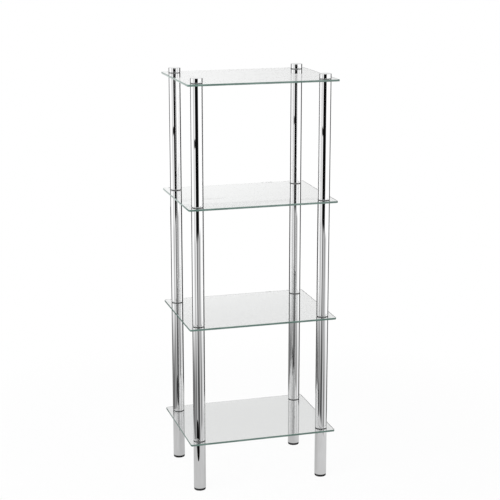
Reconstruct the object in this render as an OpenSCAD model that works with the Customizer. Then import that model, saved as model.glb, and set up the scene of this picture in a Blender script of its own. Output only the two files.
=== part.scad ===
// Glass shelving unit: four rectangular glass shelves clamped between chromed tubes.
// Each of the four posts is a leg tube, three equal shelf tubes and a cap. A stud runs
// through a hole in the glass and screws into a nut in the tube end on each side of it.
// Origin: middle of the footprint, on the floor. X is the width, Y the depth, Z up.

/* [Shelves] */
// Width of each glass shelf
shelf_w = 400; // [300:5:600]
// Depth of each glass shelf
shelf_d = 300; // [200:5:400]
// Thickness of the toughened glass
glass_t = 5; // [4:0.5:8]
// Radius of the rounded corners of each shelf
corner_r = 5; // [3:1:25]
// Distance from the glass edges to the axis of each post
post_inset = 30; // [20:1:60]
// Diameter of the hole drilled through the glass at each post
glass_hole_d = 12; // [11:0.5:16]

/* [Posts] */
// Outside diameter of the tubes
tube_d = 32; // [28:1:38]
// Wall thickness of the tubes
tube_wall = 0.6; // [0.5:0.1:0.7]
// Length of each tube between two shelves
tube_len = 309; // [200:1:400]
// Length of each leg tube under the lowest shelf
leg_len = 127; // [60:1:250]
// Outer radius of the rolled-in rim at each tube end
rim_r = 0.8; // [0.8:0.1:3.5]
// Diameter of the opening that the rim leaves in a tube end
rim_opening_d = 20; // [14:0.5:22]

/* [Caps] */
// Height of each cap on the top shelf
cap_h = 12; // [9:0.5:25]
// Radius of the cap's upper edge
cap_top_r = 0.5; // [0.3:0.1:3]
// Radius of the cap's lower edge
cap_low_r = 0.4; // [0.3:0.1:3]
// Depth of the threaded hole in the cap
cap_hole_depth = 8; // [7.5:0.5:8.5]

/* [Clamped joints] */
// Diameter of the threaded studs
stud_d = 8; // [6:0.5:9]
// Length of stud that screws into a tube end
stud_grip = 14; // [8:0.5:40]
// Length of stud that screws into a cap
cap_grip = 7; // [5:0.5:7.5]
// Thickness of the nut inside each tube end
nut_t = 12; // [6:0.5:20]
// Thickness of the soft washers on both faces of the glass
washer_t = 1; // [0.6:0.1:2]
// How far the washers' rims lie inside the surface of the tubes
washer_setback = 0.2; // [0.2:0.1:2]
// How far the bush stops short of the upper face of the glass
bush_recess = 0.5; // [0.2:0.1:2]

/* [Feet] */
// Height of the glide under each leg
foot_h = 6; // [3.5:0.5:10]
// How far the glide's rim lies inside the surface of the leg
foot_setback = 0.5; // [0.2:0.1:3]
// Radius of the glide's lower edge
foot_low_r = 1; // [0.4:0.1:1.6]
// Radius of the glide's upper edge
foot_top_r = 0.4; // [0.2:0.1:1.2]
// Length of the foot's stud above the glide
foot_stud_len = 22; // [16:1:50]
// Depth of the stud's end moulded into the glide
foot_stud_seat = 2; // [1:0.5:3]

/* [Fits] */
// Radial gap between a stud and the threaded holes that hold it
thread_gap = 0.05; // [0.02:0.01:0.1]
// Radial gap between a nut and the tube around it
nut_gap = 0.1; // [0.05:0.05:0.3]
// Radial gap of the bush, in the glass and around the stud
bush_gap = 0.3; // [0.1:0.05:0.5]

/* [Hidden] */
$fn = 96;
post_r = tube_d / 2;
post_x = shelf_w / 2 - post_inset;
post_y = shelf_d / 2 - post_inset;
joint_h = glass_t + 2 * washer_t;
leg_top_z = foot_h + leg_len;
shelf_pitch = tube_len + joint_h;
washer_r = post_r - washer_setback;
foot_r = post_r - foot_setback;
tapped_r = stud_d / 2 + thread_gap;
// Heights of the lower washer's underside at each shelf, from the lowest shelf up
joint_z = [for (level = [0:3]) leg_top_z + level * shelf_pitch];
glass_z = [for (z = joint_z) z + washer_t];
tube_z = [for (z = joint_z) z + joint_h];
// Signs of X and Y at each post
FRONT_LEFT = [-1, -1];
FRONT_RIGHT = [1, -1];
BACK_LEFT = [-1, 1];
BACK_RIGHT = [1, 1];
POSTS = [FRONT_LEFT, FRONT_RIGHT, BACK_LEFT, BACK_RIGHT];
BOTTOM = 0;
LOWER = 1;
UPPER = 2;
TOP = 3;
CHROME = [0.80, 0.81, 0.83];
GLASS = [0.62, 0.80, 0.74, 0.45];
STEEL = [0.62, 0.63, 0.65];
GLIDE_BLACK = [0.10, 0.10, 0.11];
SOFT_CLEAR = [0.84, 0.86, 0.86];

// Half outline of a turned piece with its foot at Y 0: radius, height and the radii of
// its lower and upper edges
module turned_outline(r, h, low_r, top_r) {
    translate([0, low_r]) square([r, h - low_r - top_r]);
    translate([r - low_r, low_r]) circle(low_r);
    translate([r - top_r, h - top_r]) circle(top_r);
    square([r - low_r, low_r]);
    translate([0, h - top_r]) square([r - top_r, top_r]);
}

// Puts what follows at one post
module at_post(post, z) {
    translate([post[0] * post_x, post[1] * post_y, z]) children();
}

// Puts what follows at all four posts
module at_posts(z) {
    for (post = POSTS) at_post(post, z) children();
}

// A glass shelf with rounded corners and a drilled hole for each post
module shelf(level) {
    color(GLASS) difference() {
        translate([0, 0, glass_z[level]]) linear_extrude(glass_t) {
            square([shelf_w - 2 * corner_r, shelf_d], center = true);
            square([shelf_w, shelf_d - 2 * corner_r], center = true);
            for (corner = POSTS)
                translate([corner[0] * (shelf_w / 2 - corner_r), corner[1] * (shelf_d / 2 - corner_r)])
                    circle(corner_r);
        }
        at_posts(glass_z[level] - 1) cylinder(h = glass_t + 2, d = glass_hole_d);
    }
}

// A chromed tube whose ends are rolled in to a rim around a smaller opening
module tube(length) {
    inner_r = post_r - tube_wall;
    inner_rim_r = rim_r - tube_wall;
    color(CHROME) rotate_extrude() difference() {
        turned_outline(post_r, length, rim_r, rim_r);
        translate([0, tube_wall])
            turned_outline(inner_r, length - 2 * tube_wall, inner_rim_r, inner_rim_r);
        translate([-1, -1]) square([rim_opening_d / 2 + 1, length + 2]);
    }
}

// A nut seated on the inside of a tube's lower rim, with a nose that fills the opening
module nut() {
    body_r = post_r - tube_wall - nut_gap;
    body_edge_r = rim_r - tube_wall;
    color(STEEL) rotate_extrude() difference() {
        union() {
            translate([0, tube_wall]) turned_outline(body_r, nut_t, body_edge_r, body_edge_r);
            square([rim_opening_d / 2 - nut_gap, tube_wall + body_edge_r]);
        }
        translate([-1, -1]) square([tapped_r + 1, tube_wall + nut_t + 2]);
    }
}

// The four nuts in the lower ends of the tubes that start at z
module nuts_up(z) {
    at_posts(z) nut();
}

// The four nuts in the upper ends of the tubes that end at z
module nuts_down(z) {
    at_posts(z) mirror([0, 0, 1]) nut();
}

// The four bushes of a shelf: a washer under the glass with a collar in its hole
module bushes(level) {
    collar_r = glass_hole_d / 2 - bush_gap;
    collar_top = washer_t + glass_t - bush_recess;
    color(SOFT_CLEAR) at_posts(joint_z[level]) difference() {
        union() {
            cylinder(h = washer_t, r = washer_r);
            cylinder(h = collar_top, r = collar_r);
        }
        translate([0, 0, -1]) cylinder(h = collar_top + 2, r = stud_d / 2 + bush_gap);
    }
}

// The four flat washers on top of a shelf
module washers(level) {
    color(SOFT_CLEAR) at_posts(glass_z[level] + glass_t) difference() {
        cylinder(h = washer_t, r = washer_r);
        translate([0, 0, -1]) cylinder(h = washer_t + 2, r = stud_d / 2 + bush_gap);
    }
}

// The four studs that clamp a shelf, each reaching "above" over the upper washer
module studs(level, above) {
    color(STEEL) at_posts(joint_z[level] - stud_grip)
        cylinder(h = stud_grip + joint_h + above, d = stud_d);
}

// A cap with a threaded blind hole, screwed down on the top shelf
module cap(post) {
    color(CHROME) at_post(post, tube_z[TOP]) difference() {
        rotate_extrude() turned_outline(post_r, cap_h, cap_low_r, cap_top_r);
        translate([0, 0, -1]) cylinder(h = cap_hole_depth + 1, r = tapped_r);
    }
}

// The moulded glide under a leg, with the seat of its stud
module glide(post) {
    color(GLIDE_BLACK) at_post(post, 0) difference() {
        rotate_extrude() turned_outline(foot_r, foot_h, foot_low_r, foot_top_r);
        translate([0, 0, foot_h - foot_stud_seat]) cylinder(h = foot_stud_seat + 1, r = tapped_r);
    }
}

// The glide's stud, which screws into the nut in the leg to level the unit
module foot_stud(post) {
    color(STEEL) at_post(post, foot_h - foot_stud_seat)
        cylinder(h = foot_stud_seat + foot_stud_len, d = stud_d);
}

module leg(post) {
    at_post(post, foot_h) tube(leg_len);
}

// A tube standing on the joint of a shelf
module shelf_tube(level, post) {
    at_post(post, tube_z[level]) tube(tube_len);
}

shelf(BOTTOM);  // bottom_shelf
shelf(LOWER);  // lower_shelf
shelf(UPPER);  // upper_shelf
shelf(TOP);  // top_shelf
leg(FRONT_LEFT);  // leg_front_left
leg(FRONT_RIGHT);  // leg_front_right
leg(BACK_LEFT);  // leg_back_left
leg(BACK_RIGHT);  // leg_back_right
shelf_tube(BOTTOM, FRONT_LEFT);  // lower_tube_front_left
shelf_tube(BOTTOM, FRONT_RIGHT);  // lower_tube_front_right
shelf_tube(BOTTOM, BACK_LEFT);  // lower_tube_back_left
shelf_tube(BOTTOM, BACK_RIGHT);  // lower_tube_back_right
shelf_tube(LOWER, FRONT_LEFT);  // middle_tube_front_left
shelf_tube(LOWER, FRONT_RIGHT);  // middle_tube_front_right
shelf_tube(LOWER, BACK_LEFT);  // middle_tube_back_left
shelf_tube(LOWER, BACK_RIGHT);  // middle_tube_back_right
shelf_tube(UPPER, FRONT_LEFT);  // upper_tube_front_left
shelf_tube(UPPER, FRONT_RIGHT);  // upper_tube_front_right
shelf_tube(UPPER, BACK_LEFT);  // upper_tube_back_left
shelf_tube(UPPER, BACK_RIGHT);  // upper_tube_back_right
cap(FRONT_LEFT);  // cap_front_left
cap(FRONT_RIGHT);  // cap_front_right
cap(BACK_LEFT);  // cap_back_left
cap(BACK_RIGHT);  // cap_back_right
glide(FRONT_LEFT);  // glide_front_left
glide(FRONT_RIGHT);  // glide_front_right
glide(BACK_LEFT);  // glide_back_left
glide(BACK_RIGHT);  // glide_back_right
foot_stud(FRONT_LEFT);  // foot_stud_front_left
foot_stud(FRONT_RIGHT);  // foot_stud_front_right
foot_stud(BACK_LEFT);  // foot_stud_back_left
foot_stud(BACK_RIGHT);  // foot_stud_back_right
bushes(BOTTOM);  // bottom_shelf_bushes
bushes(LOWER);  // lower_shelf_bushes
bushes(UPPER);  // upper_shelf_bushes
bushes(TOP);  // top_shelf_bushes
washers(BOTTOM);  // bottom_shelf_washers
washers(LOWER);  // lower_shelf_washers
washers(UPPER);  // upper_shelf_washers
washers(TOP);  // top_shelf_washers
studs(BOTTOM, stud_grip);  // bottom_shelf_studs
studs(LOWER, stud_grip);  // lower_shelf_studs
studs(UPPER, stud_grip);  // upper_shelf_studs
studs(TOP, cap_grip);  // top_shelf_studs
nuts_up(foot_h);  // leg_foot_nuts
nuts_down(joint_z[BOTTOM]);  // leg_top_nuts
nuts_up(tube_z[BOTTOM]);  // lower_tube_bottom_nuts
nuts_down(joint_z[LOWER]);  // lower_tube_top_nuts
nuts_up(tube_z[LOWER]);  // middle_tube_bottom_nuts
nuts_down(joint_z[UPPER]);  // middle_tube_top_nuts
nuts_up(tube_z[UPPER]);  // upper_tube_bottom_nuts
nuts_down(joint_z[TOP]);  // upper_tube_top_nuts
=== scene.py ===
import math

import bmesh
import bpy
from bpy.props import FloatProperty, FloatVectorProperty, IntProperty, PointerProperty
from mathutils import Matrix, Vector


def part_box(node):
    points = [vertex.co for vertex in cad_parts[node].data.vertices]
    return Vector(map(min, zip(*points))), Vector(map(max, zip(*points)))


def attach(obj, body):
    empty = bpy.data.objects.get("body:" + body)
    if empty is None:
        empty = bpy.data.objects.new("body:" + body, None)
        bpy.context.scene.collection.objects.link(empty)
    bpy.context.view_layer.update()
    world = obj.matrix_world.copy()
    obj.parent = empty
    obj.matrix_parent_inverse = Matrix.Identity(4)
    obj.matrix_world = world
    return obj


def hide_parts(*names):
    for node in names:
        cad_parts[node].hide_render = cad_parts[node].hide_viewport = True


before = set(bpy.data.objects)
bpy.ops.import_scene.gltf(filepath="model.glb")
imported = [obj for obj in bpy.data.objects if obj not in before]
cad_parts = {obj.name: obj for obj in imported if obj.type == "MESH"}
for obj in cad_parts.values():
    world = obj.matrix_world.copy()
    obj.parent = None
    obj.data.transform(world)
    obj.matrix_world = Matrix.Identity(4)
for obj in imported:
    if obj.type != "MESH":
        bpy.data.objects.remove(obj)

bl_info = {
    "name": "Glass Shelving Unit",
    "version": (1, 0, 0),
    "blender": (4, 5, 0),
    "location": "3D View > Sidebar > Shelving",
    "description": "Dresses the frame of a glass shelving unit and sets up its studio",
    "category": "Object",
}

POSTS = ("front_left", "front_right", "back_left", "back_right")
SHELVES = ("bottom_shelf", "lower_shelf", "upper_shelf", "top_shelf")
TUBES = ("leg", "lower_tube", "middle_tube", "upper_tube")
ROOT = "shelf_unit"

# Distance from a rounded edge of the edges that keep the faces beside it flat
HOLD = 0.0006
# Largest angles in degrees that are shaded smooth, on turned pieces and on threads
SMOOTH_ANGLE = 24.0
THREAD_SMOOTH_ANGLE = 50.0
# Faces round a threaded stud, and rings of vertices in one turn of its thread
STUD_SIDES = 14
RINGS_A_TURN = 6

# The photograph's camera: its place, its bearing from the front towards the right and
# how far it looks down, in metres and degrees
CAMERA_PLACE = (-1.004, -3.486, 1.510)
CAMERA_BEARING = -16.131
CAMERA_DOWN = 13.810
# The lamp at the upper left: its place, what it points at and its two sides
LAMP_PLACE = (-1.5, -0.9, 2.05)
LAMP_AIM = (0.0, 0.0, 0.9)
LAMP_SIDES = (1.6, 1.2)
# The studio is a round floor and a wall round it, which goes on under the floor. Metal
# mirrors only the floor's middle, the table: squares of the radii between which it ends
FLOOR_RADIUS = 3.2
TABLE_END = (0.25, 0.32)
WALL_RADIUS = 3.1
WALL_LEVELS = (-1.9, 0.0, 1.62)
# Bearings from the front to the right between which the wall is lower, and its height
# there, so that the shelves mirror the light paper behind it
LOW_PARTS = ((31.0, 59.0, 1.15), (150.0, 205.0, 0.1))
# Four glowing sheets of paper, which only mirrors see, stand round all of it and paint the
# greys that the glass and the caps' tops reflect: half the sides of their ground plan, and
# the heights of their lower and upper edges
PAPER_HALF = (8.0, 6.0)
PAPER_LEVELS = (1.3, 14.0)
# A dark oval before the front left foot, which only mirrors see, and which paints a dark
# reflected streak on the front left leg: its middle and half its sides
DARK_OVAL_CENTRE = (-0.42, -0.40, 0.002)
DARK_OVAL_HALF = (0.19, 0.14)
# A dark patch painted on the wall, which only mirrors see, and which paints a short dark
# reflected mark on the posts: where it starts and where it ends, in bearings off the camera
# and in heights
DARK_PATCH_BEARINGS = ((-49.0, -43.2), (-24.5, -23.0))
DARK_PATCH_HEIGHTS = ((0.43, 0.445), (0.47, 0.485))
# Painted brightness of the glowing wall, which only mirrors see and which paints the tubes'
# light and dark reflected streaks, by bearing off the camera: over the table top, just
# under its rim and deep under it, and the heights over which one gives way to the next
OVER_TO_RIM = (-0.03, 0.03)
RIM_TO_DEEP = (-0.78, -0.28)
ABOVE_TABLE = ((-180, 0.04), (-116, 0.04), (-108, 1.1), (-62, 1.1), (-58, 0.66),
               (-42, 0.66), (-38, 1.1), (-30, 1.1), (-25, 0.004), (25, 0.004),
               (30, 1.1), (108, 1.1), (116, 0.04), (180, 0.04))
UNDER_RIM = ((-180, 0.06), (-118, 0.06), (-110, 1.10), (-78, 1.10), (-58, 0.75),
             (-46, 0.36), (-38, 0.70), (-27, 1.10), (-19, 0.50), (-9, 0.03), (-1, 0.30),
             (8, 0.64), (17, 0.46), (27, 0.26), (38, 0.50), (50, 0.76), (64, 1.10),
             (106, 1.10), (112, 0.50), (118, 0.06), (180, 0.06))
DEEP_UNDER = ((-180, 0.06), (-118, 0.06), (-110, 0.45), (-96, 0.09), (-78, 0.12),
              (-64, 0.46), (-54, 0.20), (-45, 0.09), (-36, 0.30), (-27, 0.72),
              (-18, 0.14), (-9, 0.05), (5, 0.05), (13, 0.20), (24, 0.74), (33, 0.46),
              (45, 0.10), (55, 0.34), (66, 0.62), (88, 0.98), (106, 0.72), (114, 0.06),
              (180, 0.06))


def length(label, text, metres):
    """A length property in metres."""
    return FloatProperty(name=label, description=text, default=metres, min=0.0,
                         precision=5, unit="LENGTH", subtype="DISTANCE")


def share(label, text, value, top=1.0):
    """A plain number property from 0 to top."""
    return FloatProperty(name=label, description=text, default=value, min=0.0, max=top)


def colour(label, text, value):
    """A colour property."""
    return FloatVectorProperty(name=label, description=text, default=value, size=3,
                               min=0.0, max=1.0, subtype="COLOR")


class GlassSettings(bpy.types.PropertyGroup):
    corner_radius: length("Corner radius", "Radius of each shelf's four corners", 0.005)
    arris: length("Arris", "Width of the small bevel along the polished edges", 0.0007)
    hole_diameter: length("Hole", "Diameter of the hole drilled at each post", 0.012)
    hole_chamfer: length("Hole chamfer", "Width of the bevel round each hole", 0.0004)
    refraction: share("Refraction", "Index of refraction of the glass", 1.52, 2.0)
    clear_tint: colour("Clear tint", "Tint of the glass seen through its faces",
                       (0.966, 0.974, 0.970))
    edge_deep: colour("Edge, deep", "Darker green of the polished edges",
                      (0.090, 0.160, 0.137))
    edge_pale: colour("Edge, pale", "Lighter green of the polished edges",
                      (0.185, 0.285, 0.250))


class PostSettings(bpy.types.PropertyGroup):
    segments: IntProperty(name="Segments", description="Faces round a tube", default=128,
                          min=24, max=256)
    wall: length("Wall", "Wall thickness of the tubes", 0.0006)
    rim_radius: length("Rim radius", "Outer radius of the rolled tube ends", 0.0008)
    rim_opening: length("Rim opening", "Diameter of the opening in a tube end", 0.020)
    cap_top_radius: length("Cap top", "Radius of a cap's upper edge", 0.0005)
    cap_low_radius: length("Cap foot", "Radius of a cap's lower edge", 0.0004)
    cap_hole_depth: length("Cap hole", "Depth of the threaded hole in a cap", 0.008)
    tapped_diameter: length("Tapped hole", "Diameter of the threaded holes", 0.0081)
    plate_colour: colour("Plate", "Colour of the chrome plate", (0.93, 0.932, 0.936))


class FittingSettings(bpy.types.PropertyGroup):
    stud_diameter: length("Stud", "Diameter over the thread of the studs", 0.008)
    thread_pitch: length("Pitch", "Distance between two turns of the thread", 0.00125)
    thread_depth: length("Thread depth", "Height of the thread over its root", 0.00068)
    washer_bore: length("Washer bore", "Radius of the washers' bore", 0.0043)
    collar_radius: length("Collar", "Radius of the bush's collar in the glass", 0.0057)
    washer_edge: length("Washer edge", "Rounding of the washers' edges", 0.00025)
    steel_colour: colour("Zinc", "Colour of the zinc-plated studs and nuts",
                         (0.56, 0.57, 0.59))
    soft_colour: colour("Soft plastic", "Colour of the washers and bushes",
                        (0.84, 0.86, 0.86))


class FootSettings(bpy.types.PropertyGroup):
    top_radius: length("Upper edge", "Radius of the glide's upper edge", 0.0004)
    low_radius: length("Lower edge", "Radius of the glide's lower edge", 0.001)
    seat_depth: length("Seat", "Depth of the stud's seat in the glide", 0.002)
    moulded_colour: colour("Moulded plastic", "Colour of the glides",
                           (0.016, 0.016, 0.018))


class StudioSettings(bpy.types.PropertyGroup):
    ambient: share("Ambient", "Strength of the even light from all round", 0.55, 4.0)
    lamp_power: share("Lamp", "Power of the large lamp at the upper left in watts",
                      32.0, 500.0)
    floor_veil: share("Floor veil", "Share of the floor that keeps the shadow", 0.05)
    floor_colour: colour("Floor", "Colour of the pale floor", (0.92, 0.92, 0.92))
    lens: FloatProperty(name="Lens", description="Focal length in millimetres",
                        default=100.09, min=20.0, max=300.0)


def settings(group):
    """The values of one group of settings."""
    return getattr(bpy.context.scene, "shelving_" + group)


class Value:
    """A number socket that takes Python arithmetic, each step of it one Math node."""

    def __init__(self, tree, socket):
        self.tree = tree
        self.socket = socket

    def step(self, operation, *operands):
        node = self.tree.add("ShaderNodeMath", {"operation": operation},
                             dict(enumerate(operands)))
        return Value(self.tree, node.outputs[0])

    def __add__(self, other):
        return self.step("ADD", self, other)

    def __radd__(self, other):
        return self.step("ADD", other, self)

    def __sub__(self, other):
        return self.step("SUBTRACT", self, other)

    def __rsub__(self, other):
        return self.step("SUBTRACT", other, self)

    def __mul__(self, other):
        return self.step("MULTIPLY", self, other)

    def __rmul__(self, other):
        return self.step("MULTIPLY", other, self)

    def __truediv__(self, other):
        return self.step("DIVIDE", self, other)

    def __abs__(self):
        return self.step("ABSOLUTE", self)

    def fraction(self):
        return self.step("FRACT", self)

    def least(self, other):
        return self.step("MINIMUM", self, other)

    def most(self, other):
        return self.step("MAXIMUM", self, other)

    def between(self, low, high):
        """0 at low and 1 at high, smooth between them and held past them."""
        node = self.tree.add(
            "ShaderNodeMapRange", {"interpolation_type": "SMOOTHSTEP"},
            {"Value": self, "From Min": low, "From Max": high})
        return Value(self.tree, node.outputs["Result"])

    def within(self, start, end):
        """1 between the two stretches and 0 outside them, smooth over each."""
        return self.between(*start) * (1.0 - self.between(*end))


class NodeTree:
    """A node tree that is filled one node at a time."""

    def __init__(self, tree):
        self.tree = tree

    def add(self, kind, choices=None, sockets=None):
        """Adds a node, sets its choices first and then its sockets' values or links."""
        node = self.tree.nodes.new(kind)
        for name, value in (choices or {}).items():
            if name == "stops":
                self.set_stops(node.color_ramp, value)
            else:
                setattr(node, name, value)
        for name, value in (sockets or {}).items():
            self.put(node.inputs[name], value)
        return node

    def put(self, socket, value):
        """Links a socket to another one, or gives it a plain value."""
        if isinstance(value, Value):
            value = value.socket
        if isinstance(value, bpy.types.NodeSocket):
            self.tree.links.new(value, socket)
        elif socket.type == "RGBA" and len(value) == 3:
            socket.default_value = (*value, 1.0)
        else:
            socket.default_value = value

    def set_stops(self, ramp, stops):
        """Gives a ramp these stops, each a place from 0 to 1 and a grey."""
        while len(ramp.elements) < len(stops):
            ramp.elements.new(0.5)
        for element, (place, shade) in zip(ramp.elements, stops):
            element.position = place
            element.color = (shade, shade, shade, 1.0)

    def value(self, node, output=0):
        """An output of a node as a number that takes arithmetic."""
        return Value(self, node.outputs[output])

    def noise(self, place, scale, detail=2.0, roughness=0.5):
        """Noise from 0 to 1 at this many waves a metre."""
        node = self.add("ShaderNodeTexNoise", {"noise_dimensions": "3D"},
                        {"Vector": place, "Scale": scale, "Detail": detail,
                         "Roughness": roughness})
        return self.value(node, "Fac")

    def stretched(self, place, scale):
        """The place scaled by a different amount along each axis."""
        node = self.add("ShaderNodeMapping", {"vector_type": "POINT"},
                        {"Vector": place, "Scale": scale})
        return node.outputs["Vector"]

    def blend(self, mask, low, high):
        """One colour where the mask is 0 and the other where it is 1."""
        node = self.add("ShaderNodeMix", {"data_type": "RGBA"})
        self.put(node.inputs[0], mask)
        self.put(node.inputs[6], low)
        self.put(node.inputs[7], high)
        return node.outputs[2]

    def grey(self, shade):
        """A grey of this brightness."""
        node = self.add("ShaderNodeCombineColor", {}, {0: shade, 1: shade, 2: shade})
        return node.outputs[0]

    def bump(self, height, distance):
        """A normal that follows this height, which 1 raises by the distance."""
        node = self.add("ShaderNodeBump", {}, {"Height": height, "Distance": distance,
                                               "Strength": 1.0})
        return node.outputs["Normal"]


class Finish(NodeTree):
    """A new node material with its output."""

    def __init__(self, name):
        self.material = bpy.data.materials.new(name)
        self.material.use_nodes = True
        super().__init__(self.material.node_tree)
        self.tree.nodes.clear()
        self.output = self.add("ShaderNodeOutputMaterial")
        self.place = self.add("ShaderNodeTexCoord").outputs["Object"]

    def grain(self, waves, detail=2.0, roughness=0.5):
        """Noise with this many waves a metre along X, Y and Z of the piece."""
        return self.noise(self.stretched(self.place, waves), 1.0, detail, roughness)

    def show(self, shader):
        """Ends the tree in this shader and gives the material."""
        self.material.cycles.emission_sampling = "NONE"
        self.tree.links.new(shader.outputs[0], self.output.inputs["Surface"])
        return self.material

    def mirrored_ray(self):
        """1 for a ray that has met a mirror on its way, through glass or not."""
        met = self.value(self.add("ShaderNodeLightPath"), "Glossy Depth")
        return met.step("GREATER_THAN", met, 0.5)

    def show_in_mirrors(self, tone):
        """Plain light of this colour to mirrored rays and nothing to all others."""
        clear = self.add("ShaderNodeBsdfTransparent")
        light = self.add("ShaderNodeEmission", {}, {"Color": tone})
        return self.show(self.add("ShaderNodeMixShader", {}, {
            0: self.mirrored_ray(), 1: clear.outputs[0], 2: light.outputs[0]}))

    def principled(self, sockets):
        """The usual shader with these values or links."""
        return self.add("ShaderNodeBsdfPrincipled", {}, sockets)


def shaded(base, amount):
    """A colour made lighter or darker by a factor."""
    return tuple(min(1.0, part * amount) for part in base)


def chrome_finish():
    """Bright plate over a drawn tube: soft waves, polishing rings and faint smears."""
    f = Finish("bright_chrome")
    wave = f.grain((26.0, 26.0, 7.0))
    rings = f.grain((30.0, 30.0, 2600.0), 1.0)
    smear = f.grain((60.0, 60.0, 22.0), 4.0, 0.62).between(0.52, 0.78)
    plate = settings("posts").plate_colour
    return f.show(f.principled({
        "Base Color": f.blend(wave.between(0.3, 0.7), shaded(plate, 0.975), plate),
        "Metallic": 1.0,
        "Roughness": 0.016 + 0.006 * rings + 0.022 * smear,
        "Normal": f.bump(wave + 0.004 * rings, 0.000012)}))


def glass_face_finish():
    """Clear toughened glass with the slow waves that its rollers leave."""
    glass = settings("glass")
    f = Finish("clear_glass")
    drift = f.grain((3.0, 2.0, 3.0), 1.0)
    roll = f.grain((1.2, 16.0, 1.0), 0.0)
    clear = f.principled({
        "Base Color": glass.clear_tint, "Roughness": 0.0, "IOR": glass.refraction,
        "Transmission Weight": 1.0,
        "Normal": f.bump(roll + 0.5 * drift, 0.00003)})
    lets_by = f.add("ShaderNodeBsdfTransparent", {}, {"Color": (0.90, 0.95, 0.925)})
    lamp_ray = f.add("ShaderNodeLightPath").outputs["Is Shadow Ray"]
    mix = f.add("ShaderNodeMixShader", {}, {0: lamp_ray, 1: clear.outputs[0],
                                            2: lets_by.outputs[0]})
    return f.show(mix)


def glass_edge_finish():
    """The polished edge, where the light comes along the sheet and turns green."""
    glass = settings("glass")
    f = Finish("polished_glass_edge")
    band = f.grain((26.0, 26.0, 300.0), 3.0)
    fine = f.grain((420.0, 420.0, 2400.0))
    mask = (band * 0.75 + fine * 0.25).between(0.34, 0.66)
    polished = f.principled({
        "Base Color": f.blend(mask, glass.edge_deep, glass.edge_pale),
        "Roughness": 0.07 + 0.10 * fine, "IOR": glass.refraction,
        "Coat Weight": 0.35, "Coat Roughness": 0.04,
        "Normal": f.bump(fine, 0.000004)})
    inner = f.principled({"Base Color": glass.clear_tint, "Roughness": 0.0,
                          "IOR": glass.refraction, "Transmission Weight": 1.0})
    within = f.add("ShaderNodeNewGeometry").outputs["Backfacing"]
    mix = f.add("ShaderNodeMixShader", {}, {0: within, 1: polished.outputs[0],
                                            2: inner.outputs[0]})
    return f.show(mix)


def glass_hole_finish():
    """The drilled wall of a hole, ground and not polished."""
    glass = settings("glass")
    f = Finish("drilled_glass")
    grit = f.noise(f.place, 2600.0, 3.0)
    pale = tuple(0.5 * part + 0.42 for part in glass.edge_pale)
    return f.show(f.principled({
        "Base Color": f.blend(grit, shaded(pale, 0.8), pale),
        "Roughness": 0.45 + 0.2 * grit, "Normal": f.bump(grit, 0.00002)}))


def zinc_finish():
    """Zinc plate on steel: cloudy, a little blue, with turning marks."""
    base = settings("fittings").steel_colour
    f = Finish("zinc_steel")
    cloud = f.noise(f.place, 240.0, 4.0, 0.6)
    marks = f.grain((120.0, 120.0, 6000.0))
    return f.show(f.principled({
        "Base Color": f.blend(cloud.between(0.35, 0.65), shaded(base, 0.78), base),
        "Metallic": 1.0, "Roughness": 0.24 + 0.14 * cloud + 0.08 * marks,
        "Normal": f.bump(marks * 0.5 + cloud, 0.000006)}))


def soft_plastic_finish():
    """Soft clear plastic of the washers: frosted, with a fine skin and dusty patches."""
    base = settings("fittings").soft_colour
    f = Finish("soft_clear_plastic")
    skin = f.noise(f.place, 3200.0, 2.0)
    dust = f.noise(f.place, 180.0, 4.0, 0.6).between(0.45, 0.75)
    return f.show(f.principled({
        "Base Color": f.blend(dust, base, shaded(base, 0.9)), "IOR": 1.46,
        "Transmission Weight": 0.85, "Roughness": 0.22 + 0.16 * skin + 0.12 * dust,
        "Normal": f.bump(skin, 0.00001)}))


def moulded_plastic_finish():
    """Hard black plastic of the glides with a spark-eroded grain and scuffs."""
    base = settings("feet").moulded_colour
    f = Finish("moulded_black_plastic")
    grain = f.noise(f.place, 2100.0, 3.0, 0.6)
    scuff = f.grain((90.0, 90.0, 700.0), 4.0, 0.65).between(0.56, 0.8)
    return f.show(f.principled({
        "Base Color": f.blend(scuff, base, shaded(base, 2.6)),
        "Roughness": 0.46 + 0.22 * grain + 0.1 * scuff, "Specular IOR Level": 0.3,
        "Normal": f.bump(grain + 0.4 * scuff, 0.000018)}))


def finish(name, make):
    """The material with this name, made the first time that it is asked for."""
    return bpy.data.materials.get(name) or make()


def chrome():
    """The chrome of the tubes and the caps."""
    return finish("bright_chrome", chrome_finish)


def zinc():
    """The zinc-plated steel of the studs and the nuts."""
    return finish("zinc_steel", zinc_finish)


def keep_sharp(bm, degrees=SMOOTH_ANGLE):
    """Smooth faces whose corners stay sharp past this angle."""
    limit = math.radians(degrees)
    for face in bm.faces:
        face.smooth = True
    for edge in bm.edges:
        edge.smooth = len(edge.link_faces) == 2 and edge.calc_face_angle(0.0) < limit


def new_piece(name, bm, materials):
    """An object at the origin that holds this mesh in its place."""
    mesh = bpy.data.meshes.new(name)
    bm.to_mesh(mesh)
    bm.free()
    for material in materials:
        mesh.materials.append(material)
    piece = bpy.data.objects.new(name, mesh)
    bpy.context.scene.collection.objects.link(piece)
    return piece


def arc(centre, radius, start, stop, steps=8):
    """Points of a circle's arc in the radius and height plane, in degrees."""
    turns = [math.radians(start + (stop - start) * i / steps) for i in range(steps + 1)]
    return [(centre[0] + radius * math.cos(t), centre[1] + radius * math.sin(t))
            for t in turns]


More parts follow.
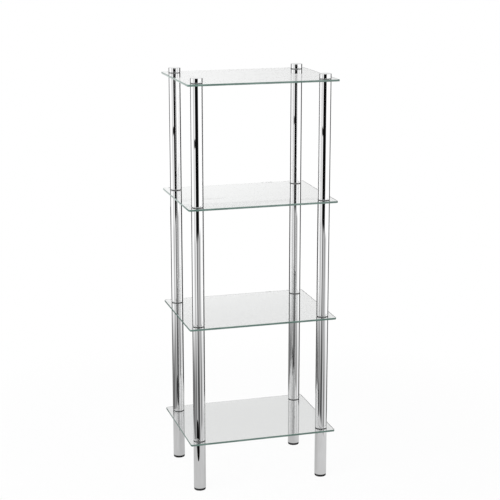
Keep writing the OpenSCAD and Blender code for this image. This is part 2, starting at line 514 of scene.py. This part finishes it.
def turn(profile, centre, segments):
    """A closed profile of radius and height, turned about the upright line there."""
    bm = bmesh.new()
    rings = []
    for radius, height in profile:
        if radius < 1e-7:
            rings.append([bm.verts.new((centre[0], centre[1], height))])
            continue
        angles = [math.tau * i / segments for i in range(segments)]
        rings.append([bm.verts.new((centre[0] + radius * math.cos(a),
                                    centre[1] + radius * math.sin(a), height))
                      for a in angles])
    for low, high in zip(rings, rings[1:] + rings[:1]):
        if len(low) == 1 and len(high) == 1:
            continue
        for i in range(segments):
            j = (i + 1) % segments
            corners = [low[i % len(low)], low[j % len(low)],
                       high[j % len(high)], high[i % len(high)]]
            bm.faces.new(list(dict.fromkeys(corners)))
    bmesh.ops.recalc_face_normals(bm, faces=bm.faces)
    keep_sharp(bm)
    return bm


def tube_profile(radius, low, high):
    """Section of a tube wall whose two ends roll in to the rim's opening."""
    posts = settings("posts")
    rim = posts.rim_radius
    wall = posts.wall
    inner = rim - wall
    opening = posts.rim_opening / 2
    outer = [(opening, low), (radius - rim - HOLD, low)]
    outer += arc((radius - rim, low + rim), rim, -90, 0)
    outer += [(radius, low + rim + HOLD), (radius, high - rim - HOLD)]
    outer += arc((radius - rim, high - rim), rim, 0, 90)
    outer += [(radius - rim - HOLD, high), (opening, high)]
    inside = [(opening, high - wall), (radius - rim - HOLD, high - wall)]
    inside += arc((radius - rim, high - rim), inner, 90, 0)
    inside += [(radius - wall, high - rim - HOLD), (radius - wall, low + rim + HOLD)]
    inside += arc((radius - rim, low + rim), inner, 0, -90)
    inside += [(radius - rim - HOLD, low + wall), (opening, low + wall)]
    return outer + inside


def node_place(node):
    """Centre, radius, foot and head of a turned CAD node."""
    low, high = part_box(node)
    centre = ((low[0] + high[0]) / 2, (low[1] + high[1]) / 2)
    return centre, (high[0] - low[0]) / 2, low[2], high[2]


def dress(piece, body, slot, *nodes):
    """Hangs a piece on its body in place of the CAD nodes that it stands for."""
    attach(piece, body)
    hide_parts(*nodes)


def rounded_loop(bm, half_x, half_y, radius, height, steps=12):
    """A rectangle with rounded corners as a ring of vertices, anticlockwise."""
    ring = []
    corners = ((1, -1, -90), (1, 1, 0), (-1, 1, 90), (-1, -1, 180))
    for sign_x, sign_y, start in corners:
        centre = (sign_x * (half_x - radius), sign_y * (half_y - radius))
        for x, y in arc(centre, radius, start, start + 90, steps):
            ring.append(bm.verts.new((x, y, height)))
    return ring


def round_loop(bm, centre, radius, height, segments=64):
    """A circle as a ring of vertices, anticlockwise."""
    turns = [math.tau * i / segments for i in range(segments)]
    return [bm.verts.new((centre[0] + radius * math.cos(t),
                          centre[1] + radius * math.sin(t), height)) for t in turns]


def join_rings(bm, rings, material):
    """Walls between neighbouring rings of as many vertices."""
    for low, high in zip(rings, rings[1:]):
        for i in range(len(low)):
            j = (i + 1) % len(low)
            bm.faces.new((low[i], low[j], high[j], high[i])).material_index = material


def fill_between(bm, rings):
    """A flat face inside the first ring and outside the others."""
    edges = []
    for ring in rings:
        edges += [bm.edges.get((a, b)) for a, b in zip(ring, ring[1:] + ring[:1])]
    made = bmesh.ops.triangle_fill(bm, use_beauty=True, edges=edges)["geom"]
    for face in made:
        if isinstance(face, bmesh.types.BMFace):
            face.material_index = 0


def glass_sheet(node, centres):
    """A drilled sheet with polished edges in the box of its CAD node."""
    glass = settings("glass")
    low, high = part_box(node)
    half_x = (high[0] - low[0]) / 2
    half_y = (high[1] - low[1]) / 2
    arris = glass.arris
    levels = ((arris, low[2]), (0.0, low[2] + arris), (0.0, high[2] - arris),
              (arris, high[2]))
    bm = bmesh.new()
    edge = [rounded_loop(bm, half_x - inset, half_y - inset,
                         glass.corner_radius - inset, height)
            for inset, height in levels]
    join_rings(bm, edge, 1)
    drilled = []
    bore = glass.hole_diameter / 2
    chamfer = glass.hole_chamfer
    for centre in centres:
        levels = ((bore + chamfer, low[2]), (bore, low[2] + chamfer),
                  (bore, high[2] - chamfer), (bore + chamfer, high[2]))
        rings = [round_loop(bm, centre, radius, height) for radius, height in levels]
        join_rings(bm, rings, 2)
        drilled.append(rings)
    fill_between(bm, [edge[0]] + [rings[0] for rings in drilled])
    fill_between(bm, [edge[-1]] + [rings[-1] for rings in drilled])
    bmesh.ops.recalc_face_normals(bm, faces=bm.faces)
    keep_sharp(bm)
    return bm


class SHELVING_OT_shelves(bpy.types.Operator):
    """Makes the four drilled glass shelves with polished edges"""
    bl_idname = "shelving.shelves"
    bl_label = "Glass shelves"

    def execute(self, context):
        materials = (glass_face_finish(), glass_edge_finish(), glass_hole_finish())
        centres = [node_place("leg_" + post)[0] for post in POSTS]
        for shelf in SHELVES:
            piece = new_piece(shelf + "_glass", glass_sheet(shelf, centres), materials)
            dress(piece, ROOT, "glass", shelf)
        return {"FINISHED"}


class SHELVING_OT_tubes(bpy.types.Operator):
    """Makes the legs and the tubes between the shelves, with rolled ends"""
    bl_idname = "shelving.tubes"
    bl_label = "Chromed tubes"

    def execute(self, context):
        for post in POSTS:
            for tube in TUBES:
                node = tube + "_" + post
                centre, radius, low, high = node_place(node)
                bm = turn(tube_profile(radius, low, high), centre,
                          settings("posts").segments)
                dress(new_piece(node + "_chrome", bm, (chrome(),)), ROOT, "chrome", node)
        return {"FINISHED"}


class SHELVING_OT_caps(bpy.types.Operator):
    """Makes the four chrome caps on the top shelf"""
    bl_idname = "shelving.caps"
    bl_label = "Caps"

    def execute(self, context):
        posts = settings("posts")
        bore = posts.tapped_diameter / 2
        foot = posts.cap_low_radius
        head = posts.cap_top_radius
        for post in POSTS:
            node = "cap_" + post
            centre, radius, low, high = node_place(node)
            inner = low + posts.cap_hole_depth
            profile = [(0.0, inner), (bore, inner), (bore, low)]
            profile += arc((radius - foot, low + foot), foot, -90, 0)
            profile += [(radius, low + foot + HOLD), (radius, high - head - HOLD)]
            profile += arc((radius - head, high - head), head, 0, 90)
            profile += [(radius - head - HOLD, high), (0.0, high)]
            bm = turn(profile, centre, posts.segments)
            dress(new_piece(node + "_chrome", bm, (chrome(),)), ROOT, "chrome", node)
        return {"FINISHED"}


def post_array_tree():
    """Geometry nodes that stand a copy of a piece on each of the four posts."""
    tree = bpy.data.node_groups.new("stand_at_posts", "GeometryNodeTree")
    face = tree.interface
    face.new_socket("Geometry", in_out="INPUT", socket_type="NodeSocketGeometry")
    for name in ("Post X", "Post Y", "Height"):
        face.new_socket(name, in_out="INPUT", socket_type="NodeSocketFloat")
    face.new_socket("Material", in_out="INPUT", socket_type="NodeSocketMaterial")
    face.new_socket("Geometry", in_out="OUTPUT", socket_type="NodeSocketGeometry")
    g = NodeTree(tree)
    start = g.add("NodeGroupInput")
    made = stand_copies(g, start, start.outputs["Geometry"], 4)
    g.add("NodeGroupOutput", {}, {"Geometry": made})
    return tree


def stand_copies(g, start, piece, count):
    """Copies of a piece at the posts, made real and given their material."""
    index = g.value(g.add("GeometryNodeInputIndex"))
    side = index.step("FLOORED_MODULO", index, 2.0) * 2.0 - 1.0
    row = (index / 2.0).step("FLOOR", index / 2.0) * 2.0 - 1.0
    where = g.add("ShaderNodeCombineXYZ", {}, {
        "X": side * g.value(start, "Post X"), "Y": row * g.value(start, "Post Y"),
        "Z": start.outputs["Height"]})
    points = g.add("GeometryNodePoints", {}, {"Count": count,
                                              "Position": where.outputs[0]})
    copies = g.add("GeometryNodeInstanceOnPoints", {}, {"Points": points.outputs[0],
                                                        "Instance": piece})
    real = g.add("GeometryNodeRealizeInstances", {}, {"Geometry": copies.outputs[0]})
    finished = g.add("GeometryNodeSetMaterial", {}, {
        "Geometry": real.outputs[0], "Material": start.outputs["Material"]})
    return finished.outputs[0]


def thread_tree(name, count):
    """Geometry nodes for studs: a ridge that winds round a rod with chamfered ends."""
    tree = bpy.data.node_groups.new(name, "GeometryNodeTree")
    face = tree.interface
    for label in ("Post X", "Post Y", "Height", "Length", "Diameter", "Pitch", "Depth"):
        face.new_socket(label, in_out="INPUT", socket_type="NodeSocketFloat")
    face.new_socket("Rings", in_out="INPUT", socket_type="NodeSocketInt")
    face.new_socket("Material", in_out="INPUT", socket_type="NodeSocketMaterial")
    face.new_socket("Geometry", in_out="OUTPUT", socket_type="NodeSocketGeometry")
    g = NodeTree(tree)
    start = g.add("NodeGroupInput")
    radius = g.value(start, "Diameter") / 2.0
    depth = g.value(start, "Depth")
    rod = g.add("GeometryNodeMeshCylinder", {"fill_type": "NGON"}, {
        "Vertices": STUD_SIDES, "Side Segments": start.outputs["Rings"], "Radius": radius,
        "Depth": start.outputs["Length"]})
    spot = g.add("ShaderNodeSeparateXYZ", {}, {
        0: g.add("GeometryNodeInputPosition").outputs[0]})
    x, y, z = [g.value(spot, axis) for axis in "XYZ"]
    turned = x.step("ARCTAN2", y, x) / math.tau
    ridge = 1.0 - abs((z / g.value(start, "Pitch") - turned).fraction() * 2.0 - 1.0)
    winding = radius - depth + depth * ridge.between(0.08, 0.92)
    to_end = g.value(start, "Length") / 2.0 - abs(z)
    chamfer = radius - depth * 1.3 + to_end
    slim = winding.least(chamfer) / radius
    moved = g.add("ShaderNodeCombineXYZ", {}, {"X": x * slim, "Y": y * slim, "Z": z})
    wound = g.add("GeometryNodeSetPosition", {}, {"Geometry": rod.outputs["Mesh"],
                                                  "Position": moved.outputs[0]})
    made = stand_copies(g, start, wound.outputs[0], count)
    g.add("NodeGroupOutput", {}, {"Geometry": made})
    return tree


def grown(name, tree, inputs, seed_mesh=None):
    """The plain mesh that a tree makes from its inputs, as an object at the origin."""
    seed = bpy.data.objects.new(name + "_seed", seed_mesh or bpy.data.meshes.new(name))
    bpy.context.scene.collection.objects.link(seed)
    modifier = seed.modifiers.new("nodes", "NODES")
    modifier.node_group = tree
    sockets = {item.name: item.identifier for item in tree.interface.items_tree
               if item.in_out == "INPUT"}
    for label, value in inputs.items():
        modifier[sockets[label]] = value
    graph = bpy.context.evaluated_depsgraph_get()
    mesh = bpy.data.meshes.new_from_object(seed.evaluated_get(graph), depsgraph=graph)
    seed.modifiers.remove(modifier)
    bpy.data.objects.remove(seed)
    mesh.name = name
    mesh.materials.clear()
    mesh.materials.append(inputs["Material"])
    bm = bmesh.new()
    bm.from_mesh(mesh)
    bmesh.ops.recalc_face_normals(bm, faces=bm.faces)
    keep_sharp(bm, THREAD_SMOOTH_ANGLE)
    bm.to_mesh(mesh)
    bm.free()
    piece = bpy.data.objects.new(name, mesh)
    bpy.context.scene.collection.objects.link(piece)
    return piece


def post_offsets():
    """Distances of the posts from the middle along X and Y."""
    centre = node_place("leg_back_right")[0]
    return abs(centre[0]), abs(centre[1])


class SHELVING_OT_washers(bpy.types.Operator):
    """Makes the soft washers on both faces of each shelf and the collars in its holes"""
    bl_idname = "shelving.washers"
    bl_label = "Washers and bushes"

    def execute(self, context):
        fit = settings("fittings")
        tree = post_array_tree()
        soft = soft_plastic_finish()
        post_x, post_y = post_offsets()
        for shelf in SHELVES:
            for node, collar in ((shelf + "_washers", False), (shelf + "_bushes", True)):
                low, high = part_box(node)
                seed = self.ring(fit, high[0] - post_x, high[2] - low[2], collar)
                piece = grown(node + "_moulded", tree, {
                    "Post X": post_x, "Post Y": post_y, "Height": low[2],
                    "Material": soft}, seed)
                dress(piece, ROOT, "washer_plastic", node)
        return {"FINISHED"}

    def ring(self, fit, outer, height, collar):
        """One washer at the origin, with its collar standing up where it has one."""
        edge = fit.washer_edge
        bore = fit.washer_bore
        thick = height
        if collar:
            low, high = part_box("top_shelf_washers")
            thick = high[2] - low[2]
        profile = arc((outer - edge, edge), edge, -90, 0, 3)
        profile += arc((outer - edge, thick - edge), edge, 0, 90, 3)
        if collar:
            wall = fit.collar_radius
            profile += arc((wall + edge, thick + edge), edge, 270, 180, 3)
            profile += arc((wall - edge, height - edge), edge, 0, 90, 3)
        profile += [(bore, height), (bore, 0.0)]
        mesh = bpy.data.meshes.new("ring")
        bm = turn(profile, (0.0, 0.0), 72)
        bm.to_mesh(mesh)
        bm.free()
        return mesh


class SHELVING_OT_fasteners(bpy.types.Operator):
    """Makes the threaded studs through the glass and finishes the nuts in the tubes"""
    bl_idname = "shelving.fasteners"
    bl_label = "Studs and nuts"

    def execute(self, context):
        tree = thread_tree("studs_at_posts", 4)
        post_x, post_y = post_offsets()
        for shelf in SHELVES:
            node = shelf + "_studs"
            piece = threaded(node + "_threaded", tree, node, post_x, post_y)
            dress(piece, ROOT, "stud_steel", node)
        for name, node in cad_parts.items():
            if name.endswith("_nuts"):
                for place in node.material_slots:
                    place.material = zinc()
        return {"FINISHED"}


def threaded(name, tree, node, post_x, post_y):
    """Studs as long and as high as those of a CAD node."""
    fit = settings("fittings")
    low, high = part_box(node)
    reach = high[2] - low[2]
    return grown(name, tree, {
        "Post X": post_x, "Post Y": post_y, "Height": (low[2] + high[2]) / 2,
        "Length": reach, "Diameter": fit.stud_diameter, "Pitch": fit.thread_pitch,
        "Depth": fit.thread_depth,
        "Rings": round(reach / fit.thread_pitch * RINGS_A_TURN),
        "Material": zinc()})


class SHELVING_OT_feet(bpy.types.Operator):
    """Makes the four moulded glides and the studs that screw them into the legs"""
    bl_idname = "shelving.feet"
    bl_label = "Screw feet"

    def execute(self, context):
        feet = settings("feet")
        moulded = moulded_plastic_finish()
        tree = thread_tree("one_stud", 1)
        bore = settings("posts").tapped_diameter / 2
        for post in POSTS:
            node = "glide_" + post
            centre, radius, low, high = node_place(node)
            seat = high - feet.seat_depth
            profile = [(0.0, low)]
            profile += arc((radius - feet.low_radius, low + feet.low_radius),
                           feet.low_radius, -90, 0)
            profile += arc((radius - feet.top_radius, high - feet.top_radius),
                           feet.top_radius, 0, 90, 5)
            profile += [(bore, high), (bore, seat), (0.0, seat)]
            bm = turn(profile, centre, 96)
            body = "foot_" + post
            dress(new_piece(node + "_moulded", bm, (moulded,)), body,
                  "glide_plastic", node)
            stud = "foot_stud_" + post
            piece = threaded(stud + "_threaded", tree, stud, -centre[0], -centre[1])
            dress(piece, body, "stud_steel", stud)
        return {"FINISHED"}


def seen_by_metal(card):
    """A part of the studio that only mirrored rays meet."""
    card.visible_camera = False
    card.visible_diffuse = False
    card.visible_shadow = False


def paper_finish():
    """Glowing grey paper on all sides, seen only in mirrors, with painted shade darker
    higher up and low on the right, which paints the reflections in the glass and the tops
    of the caps.
    """
    f = Finish("studio_paper")
    spot = f.add("ShaderNodeSeparateXYZ", {}, {0: f.place})
    across = f.value(spot, "X")
    height = f.value(spot, "Z")
    # Painted shade on the paper: darker higher up and low on the right, which sets the
    # greys that the glass shelves reflect
    upper = height.between(1.92, 2.50)
    shade_low_right = across.between(1.2, 2.6) * (1.0 - height.between(2.0, 2.4))
    return f.show_in_mirrors(f.grey(0.91 - 0.39 * upper - 0.16 * shade_low_right))


def compass(bearing):
    """The place from 0 to 1 of a bearing off the camera, from -180 to 180 degrees."""
    return (bearing + 180.0) / 360.0


def surround_finish():
    """A glowing wall seen only in mirrors, painted lighter and darker by bearing above and
    below the table, which paints the tubes' reflected streaks.
    """
    f = Finish("studio_surround")
    spot = f.add("ShaderNodeSeparateXYZ", {}, {0: f.place})
    x, y, z = [f.value(spot, axis) for axis in "XYZ"]
    facing = math.radians(CAMERA_BEARING)
    along = x * math.sin(facing) - y * math.cos(facing)
    aside = x * math.cos(facing) + y * math.sin(facing)
    bearing = aside.step("ARCTAN2", aside, along) / math.tau + 0.5
    tones = []
    for shades in (ABOVE_TABLE, UNDER_RIM, DEEP_UNDER):
        stops = [(compass(degrees), shade) for degrees, shade in shades]
        ramp = f.add("ShaderNodeValToRGB", {"stops": stops}, {"Fac": bearing})
        tones.append(ramp.outputs[0])
    above, rim, deep = tones
    # The stand is a dark patch painted on the wall, seen only in mirrors, which gives the
    # posts a short dark reflected mark
    start, end = [[compass(degrees) for degrees in pair] for pair in DARK_PATCH_BEARINGS]
    stand = bearing.within(start, end) * z.within(*DARK_PATCH_HEIGHTS)
    above = f.blend(stand, above, (0.02, 0.02, 0.02))
    under = f.blend(z.between(*RIM_TO_DEEP), deep, rim)
    return f.show_in_mirrors(f.blend(z.between(*OVER_TO_RIM), under, above))


def floor_finish():
    """A pale floor, white to the eye but for the shadow and a painted shade near the unit
    seen through glass, whose middle metal mirrors as a glowing table with painted light and
    shade.
    """
    studio = settings("studio")
    f = Finish("pale_floor")
    spot = f.add("ShaderNodeSeparateXYZ", {}, {0: f.place})
    x = f.value(spot, "X")
    y = f.value(spot, "Y")
    away = x * x + y * y
    path = f.add("ShaderNodeLightPath")
    through = f.value(path, "Is Transmission Ray")
    seen = f.value(path, "Is Camera Ray").most(through)
    # What the eye sees: the white behind the floor, and near the unit a little of it; seen
    # through glass, the floor near the unit is darker, a painted shade
    matt = f.add("ShaderNodeBsdfDiffuse", {}, {"Color": studio.floor_colour})
    shade_through_glass = f.grey(0.88 + 0.12 * away.between(0.5, 1.5))
    clear = f.add("ShaderNodeBsdfTransparent", {}, {
        "Color": f.blend(through, (1.0, 1.0, 1.0), shade_through_glass)})
    veil = (1.0 - away.between(0.25, 1.6)) * studio.floor_veil
    plain = f.add("ShaderNodeMixShader", {}, {
        0: seen * (1.0 - veil), 1: matt.outputs[0], 2: clear.outputs[0]})
    # What metal mirrors: a glowing, cloudy table top with painted light and shade, lighter
    # to the right and darker under the unit, and no floor past it
    shade_under_unit = (1.0 - abs(x).between(0.14, 0.24)) * (1.0 - abs(y).between(0.09, 0.19))
    cloud = f.noise(f.place, 9.0, 1.0) - 0.5
    # Painted shade under the unit and painted light towards the right, in the glowing table
    # that only metal mirrors
    table_light_and_shade = f.grey(0.594 + 0.10 * x - 0.09 * shade_under_unit + 0.12 * cloud)
    table = f.add("ShaderNodeEmission", {}, {"Color": table_light_and_shade})
    gone = f.add("ShaderNodeBsdfTransparent")
    mirrored = f.add("ShaderNodeMixShader", {}, {
        0: away.between(*TABLE_END), 1: table.outputs[0], 2: gone.outputs[0]})
    return f.show(f.add("ShaderNodeMixShader", {}, {
        0: f.mirrored_ray(), 1: plain.outputs[0], 2: mirrored.outputs[0]}))


def dark_oval_finish():
    """Near-black glow, seen only in mirrors, of the oval before the front left foot: a
    painted dark reflection on the front left leg.
    """
    return Finish("dark_oval").show_in_mirrors((0.004, 0.004, 0.004))


def studio_world():
    """White to the eye, to metal and to glass, and plain even light to the rest."""
    world = bpy.data.worlds.new("studio")
    bpy.context.scene.world = world
    world.use_nodes = True
    world.cycles.sampling_method = "NONE"
    w = NodeTree(world.node_tree)
    w.tree.nodes.clear()
    path = w.add("ShaderNodeLightPath")
    seen = w.value(path, "Is Camera Ray").most(w.value(path, "Is Glossy Ray"))
    seen = seen.most(w.value(path, "Is Transmission Ray"))
    white = (1.0, 1.0, 1.0)
    even = w.add("ShaderNodeBackground", {}, {
        "Color": white, "Strength": settings("studio").ambient})
    bright = w.add("ShaderNodeBackground", {}, {"Color": white, "Strength": 1.0})
    mix = w.add("ShaderNodeMixShader", {}, {
        0: seen, 1: even.outputs[0], 2: bright.outputs[0]})
    w.add("ShaderNodeOutputWorld", {}, {"Surface": mix.outputs[0]})


class SHELVING_OT_studio(bpy.types.Operator):
    """Sets up the world, the floor, what metal and glass mirror, the lamp and the camera"""
    bl_idname = "shelving.studio"
    bl_label = "Studio"

    def execute(self, context):
        studio_world()
        self.floor()
        self.wall()
        self.mat()
        self.paper()
        self.lamp(context)
        self.camera(context)
        context.scene.view_settings.view_transform = "Standard"
        return {"FINISHED"}

    def floor(self):
        """The round floor under the unit."""
        bm = bmesh.new()
        bmesh.ops.create_circle(bm, cap_ends=True, segments=96, radius=FLOOR_RADIUS)
        new_piece("floor", bm, (floor_finish(),))

    def wall(self):
        """The low round glowing wall, seen only in mirrors, whose painted light and dark
        stretches make the tubes' reflected streaks.
        """
        bm = bmesh.new()
        rings = [round_loop(bm, (0.0, 0.0), WALL_RADIUS, height, 144)
                 for height in WALL_LEVELS]
        for corner in rings[-1]:
            bearing = math.degrees(math.atan2(corner.co.x, -corner.co.y)) % 360.0
            for start, end, top in LOW_PARTS:
                if start < bearing < end:
                    corner.co.z = top
        join_rings(bm, rings, 0)
        seen_by_metal(new_piece("studio_surround", bm, (surround_finish(),)))

    def mat(self):
        """The dark oval, seen only in mirrors, that paints a dark reflected streak on the
        front left leg.
        """
        bm = bmesh.new()
        x, y, height = DARK_OVAL_CENTRE
        half_x, half_y = DARK_OVAL_HALF
        bmesh.ops.create_circle(bm, cap_ends=True, segments=64, radius=1.0)
        for corner in bm.verts:
            corner.co = (x + half_x * corner.co.x, y + half_y * corner.co.y, height)
        seen_by_metal(new_piece("dark_oval", bm, (dark_oval_finish(),)))

    def paper(self):
        """The sheets of paper round the studio."""
        bm = bmesh.new()
        half_x, half_y = PAPER_HALF
        plan = ((-half_x, -half_y), (half_x, -half_y), (half_x, half_y), (-half_x, half_y))
        rings = [[bm.verts.new((x, y, height)) for x, y in plan]
                 for height in PAPER_LEVELS]
        join_rings(bm, rings, 0)
        seen_by_metal(new_piece("paper_walls", bm, (paper_finish(),)))

    def lamp(self, context):
        """The large soft lamp, which metal and glass don't mirror."""
        light = bpy.data.lights.new("key_lamp", "AREA")
        light.shape = "RECTANGLE"
        light.size, light.size_y = LAMP_SIDES
        light.energy = settings("studio").lamp_power
        lamp = bpy.data.objects.new("key_lamp", light)
        lamp.location = LAMP_PLACE
        lamp.visible_glossy = False
        lamp.visible_transmission = False
        aim = Vector(LAMP_AIM) - lamp.location
        lamp.rotation_euler = aim.to_track_quat("-Z", "Y").to_euler()
        context.scene.collection.objects.link(lamp)

    def camera(self, context):
        """The photograph's camera."""
        lens = bpy.data.cameras.new("camera")
        lens.lens = settings("studio").lens
        lens.sensor_width = 36.0
        lens.clip_start = 0.05
        lens.clip_end = 60.0
        camera = bpy.data.objects.new("camera", lens)
        camera.location = CAMERA_PLACE
        camera.rotation_euler = (math.radians(90.0 - CAMERA_DOWN), 0.0,
                                 math.radians(CAMERA_BEARING))
        context.scene.collection.objects.link(camera)
        context.scene.camera = camera


class SHELVING_PT_panel(bpy.types.Panel):
    """The pieces of the shelving unit and their sizes"""
    bl_idname = "SHELVING_PT_panel"
    bl_label = "Glass shelving unit"
    bl_space_type = "VIEW_3D"
    bl_region_type = "UI"
    bl_category = "Shelving"

    def draw(self, context):
        for operator in OPERATORS:
            self.layout.operator(operator.bl_idname)
        for name in GROUPS:
            box = self.layout.box()
            box.label(text=name.capitalize())
            group = settings(name)
            for key in group.__annotations__:
                box.prop(group, key)


GROUPS = {"glass": GlassSettings, "posts": PostSettings, "fittings": FittingSettings,
          "feet": FootSettings, "studio": StudioSettings}
OPERATORS = (SHELVING_OT_shelves, SHELVING_OT_tubes, SHELVING_OT_caps,
             SHELVING_OT_washers, SHELVING_OT_fasteners, SHELVING_OT_feet,
             SHELVING_OT_studio)


def register():
    """Registers the settings, the operators and the panel."""
    for group in (*GROUPS.values(), *OPERATORS, SHELVING_PT_panel):
        bpy.utils.register_class(group)
    for name, group in GROUPS.items():
        setattr(bpy.types.Scene, "shelving_" + name, PointerProperty(type=group))


def unregister():
    """Takes back what register did."""
    for name in GROUPS:
        delattr(bpy.types.Scene, "shelving_" + name)
    for group in reversed((*GROUPS.values(), *OPERATORS, SHELVING_PT_panel)):
        bpy.utils.unregister_class(group)


def corners(box):
    """A box's two corners as plain lists."""
    return [list(corner) for corner in box]


def main():
    """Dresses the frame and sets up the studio."""
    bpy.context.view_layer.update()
    register()
    bpy.ops.shelving.shelves()
    bpy.ops.shelving.tubes()
    bpy.ops.shelving.caps()
    bpy.ops.shelving.washers()
    bpy.ops.shelving.fasteners()
    bpy.ops.shelving.feet()
    bpy.ops.shelving.studio()


if __name__ == "__main__":
    main()
